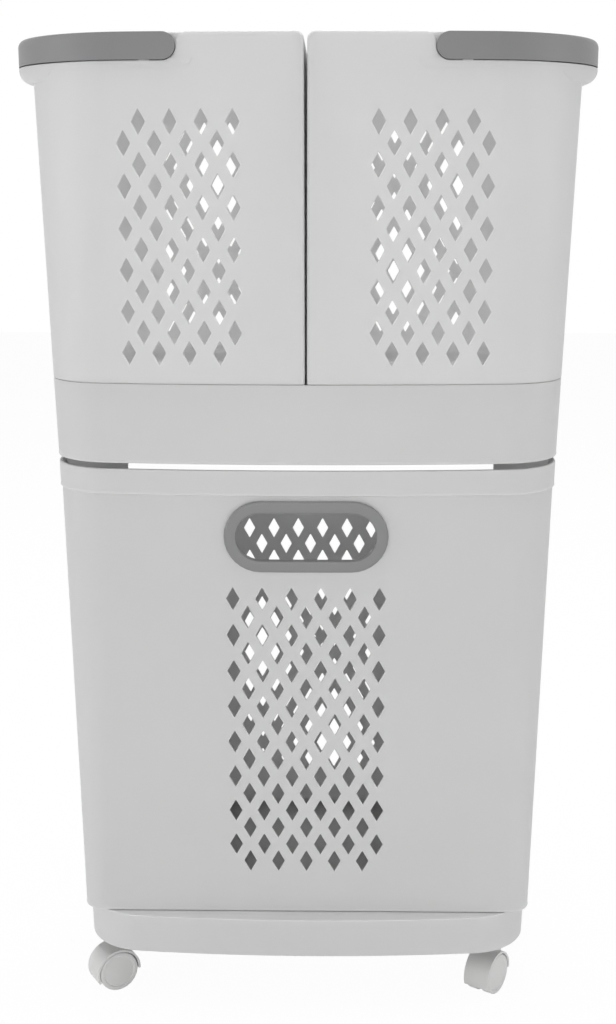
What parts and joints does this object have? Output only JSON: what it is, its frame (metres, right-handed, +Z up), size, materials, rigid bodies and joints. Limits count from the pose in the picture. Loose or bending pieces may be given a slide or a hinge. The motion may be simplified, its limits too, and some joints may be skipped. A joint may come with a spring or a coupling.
{
  "type": "laundry hamper",
  "caption": "Pierced plastic laundry hamper on casters: a slide-out lower basket under a tray that carries lift-off upper baskets with folding bails.",
  "frame": {"origin": "on the floor under the middle of the hamper", "axes": "+Z up, front towards -Y, +X to the right seen from the front"},
  "size_m": [0.491, 0.3078, 0.8482],
  "materials": {
    "walls": "satin moulded plastic, light grey",
    "grips": "satin moulded plastic, mid grey",
    "nylon": "moulded nylon, near white",
    "pins": "drawn steel"
  },
  "bodies": {
    "frame": {"base": "walls", "top_tray": "walls", "side_panel_left": "walls", "side_panel_right": "walls", "caster_socket_front_left": "nylon", "caster_socket_front_right": "nylon", "caster_socket_rear_left": "nylon", "caster_socket_rear_right": "nylon"},
    "lower_bin": {"lower_basket": "walls", "handle_ring": "grips"},
    "upper_bin_left": {"upper_basket_left": "walls"},
    "upper_bin_right": {"upper_basket_right": "walls"},
    "left_bail": {"bail_left": "grips"},
    "right_bail": {"bail_right": "grips"},
    "caster_front_left": {"caster_stem_front_left": "pins", "caster_hood_front_left": "nylon", "caster_axle_front_left": "pins"},
    "wheel_front_left_a": {"caster_wheel_front_left_a": "nylon"},
    "wheel_front_left_b": {"caster_wheel_front_left_b": "nylon"},
    "caster_front_right": {"caster_stem_front_right": "pins", "caster_hood_front_right": "nylon", "caster_axle_front_right": "pins"},
    "wheel_front_right_a": {"caster_wheel_front_right_a": "nylon"},
    "wheel_front_right_b": {"caster_wheel_front_right_b": "nylon"},
    "caster_rear_left": {"caster_stem_rear_left": "pins", "caster_hood_rear_left": "nylon", "caster_axle_rear_left": "pins"},
    "wheel_rear_left_a": {"caster_wheel_rear_left_a": "nylon"},
    "wheel_rear_left_b": {"caster_wheel_rear_left_b": "nylon"},
    "caster_rear_right": {"caster_stem_rear_right": "pins", "caster_hood_rear_right": "nylon", "caster_axle_rear_right": "pins"},
    "wheel_rear_right_a": {"caster_wheel_rear_right_a": "nylon"},
    "wheel_rear_right_b": {"caster_wheel_rear_right_b": "nylon"}
  },
  "joints": [
    {"name": "lower_bin_slide", "type": "slide", "parent": "frame", "child": "lower_bin", "axis": [0, -1, 0], "range_m": [0, 0.3]},
    {"name": "upper_bin_left_lift", "type": "slide", "parent": "frame", "child": "upper_bin_left", "axis": [0, 0, 1], "range_m": [0, 0.1]},
    {"name": "upper_bin_right_lift", "type": "slide", "parent": "frame", "child": "upper_bin_right", "axis": [0, 0, 1], "range_m": [0, 0.1]},
    {"name": "left_bail_hinge", "type": "hinge", "parent": "upper_bin_left", "child": "left_bail", "pos_m": [-0.1125, 0, 0.8377], "axis": [0, 1, 0], "range_deg": [0, 90]},
    {"name": "right_bail_hinge", "type": "hinge", "parent": "upper_bin_right", "child": "right_bail", "pos_m": [0.1125, 0, 0.8377], "axis": [0, -1, 0], "range_deg": [0, 90]},
    {"name": "caster_front_left_swivel", "type": "hinge", "parent": "frame", "child": "caster_front_left", "pos_m": [-0.172, -0.09, 0.05], "axis": [0, 0, 1], "continuous": true},
    {"name": "wheel_front_left_a_spin", "type": "hinge", "parent": "caster_front_left", "child": "wheel_front_left_a", "pos_m": [-0.17974, -0.09459, 0.0185], "axis": [0.5105, -0.8599, 0], "continuous": true},
    {"name": "wheel_front_left_b_spin", "type": "hinge", "parent": "caster_front_left", "child": "wheel_front_left_b", "pos_m": [-0.17974, -0.09459, 0.0185], "axis": [0.5105, -0.8599, 0], "continuous": true},
    {"name": "caster_front_right_swivel", "type": "hinge", "parent": "frame", "child": "caster_front_right", "pos_m": [0.172, -0.09, 0.05], "axis": [0, 0, 1], "continuous": true},
    {"name": "wheel_front_right_a_spin", "type": "hinge", "parent": "caster_front_right", "child": "wheel_front_right_a", "pos_m": [0.16697, -0.09746, 0.0185], "axis": [0.829, -0.5592, 0], "continuous": true},
    {"name": "wheel_front_right_b_spin", "type": "hinge", "parent": "caster_front_right", "child": "wheel_front_right_b", "pos_m": [0.16697, -0.09746, 0.0185], "axis": [0.829, -0.5592, 0], "continuous": true},
    {"name": "caster_rear_left_swivel", "type": "hinge", "parent": "frame", "child": "caster_rear_left", "pos_m": [-0.172, 0.09, 0.05], "axis": [0, 0, 1], "continuous": true},
    {"name": "wheel_rear_left_a_spin", "type": "hinge", "parent": "caster_rear_left", "child": "wheel_rear_left_a", "pos_m": [-0.18029, 0.08648, 0.0185], "axis": [0.3907, -0.9205, 0], "continuous": true},
    {"name": "wheel_rear_left_b_spin", "type": "hinge", "parent": "caster_rear_left", "child": "wheel_rear_left_b", "pos_m": [-0.18029, 0.08648, 0.0185], "axis": [0.3907, -0.9205, 0], "continuous": true},
    {"name": "caster_rear_right_swivel", "type": "hinge", "parent": "frame", "child": "caster_rear_right", "pos_m": [0.172, 0.09, 0.05], "axis": [0, 0, 1], "continuous": true},
    {"name": "wheel_rear_right_a_spin", "type": "hinge", "parent": "caster_rear_right", "child": "wheel_rear_right_a", "pos_m": [0.16863, 0.08166, 0.0185], "axis": [0.9272, -0.3746, 0], "continuous": true},
    {"name": "wheel_rear_right_b_spin", "type": "hinge", "parent": "caster_rear_right", "child": "wheel_rear_right_b", "pos_m": [0.16863, 0.08166, 0.0185], "axis": [0.9272, -0.3746, 0], "continuous": true}
  ]
}
